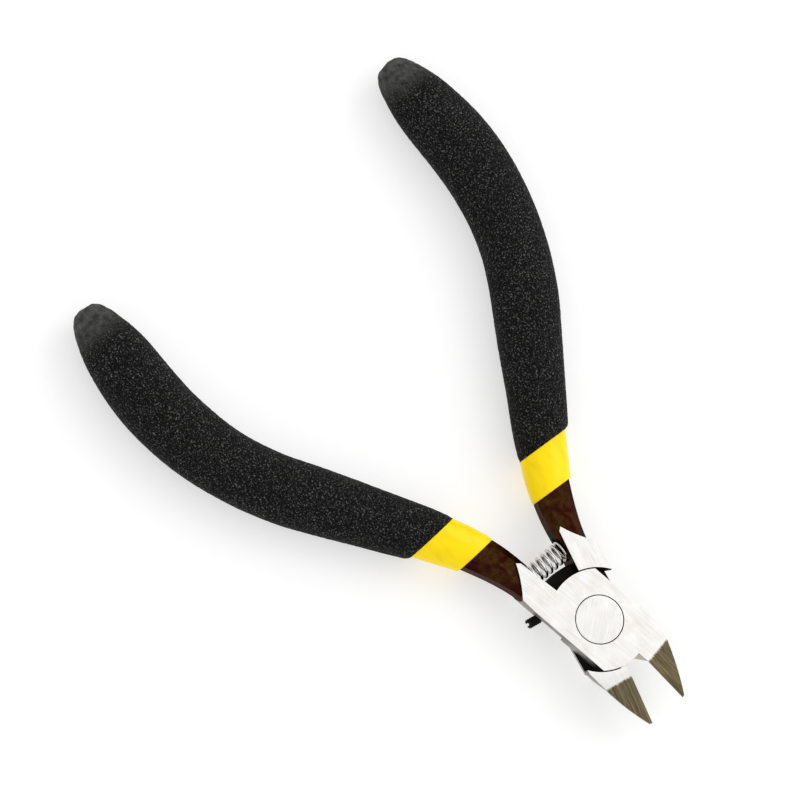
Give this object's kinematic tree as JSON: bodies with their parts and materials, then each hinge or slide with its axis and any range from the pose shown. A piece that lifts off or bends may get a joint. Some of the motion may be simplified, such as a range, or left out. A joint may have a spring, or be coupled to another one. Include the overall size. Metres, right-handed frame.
{
  "type": "flush cutter",
  "caption": "Small spring-loaded flush cutter with a riveted lap joint, tapered cutting jaws and curved handles in sleeved foam grips.",
  "frame": {"origin": "on the pivot axis, level with the flat back of the lap joint", "axes": "+Z along the pivot axis from the back of the joint to the rivet head, +X from the pivot towards the jaw tips, +Y towards the rear lever's handle; the stored pose is fully open"},
  "size_m": [0.1273, 0.0918, 0.0111],
  "materials": {
    "lever_steel": "ground bright on the joint, dark lacquer on the tangs",
    "rivet_steel": "ground bright",
    "spring_wire": "bright wire",
    "black_screw": "blackened",
    "yellow_sleeve": "glossy moulded",
    "foam_grip": "matte, fine sponge texture"
  },
  "bodies": {
    "front": {"front_lever": "lever_steel", "pivot_rivet": "rivet_steel", "return_spring": "spring_wire", "front_inner_sleeve": "yellow_sleeve", "front_foam_grip": "foam_grip"},
    "rear": {"rear_lever": "lever_steel", "rear_inner_sleeve": "yellow_sleeve", "rear_foam_grip": "foam_grip"},
    "screw": {"stop_screw": "black_screw"}
  },
  "joints": [
    {"name": "lever_pivot", "type": "hinge", "parent": "front", "child": "rear", "pos_m": [0, 0, 0], "axis": [0, 0, 1], "range_deg": [0, 20.5], "stiffness_Nm_per_rad": 0.15, "springref_deg": -14.32, "deforming": ["return_spring"]},
    {"name": "stop_screw_slide", "type": "slide", "parent": "front", "child": "screw", "axis": [-0.1779, -0.984, 0], "range_m": [0, 0.0012]}
  ]
}
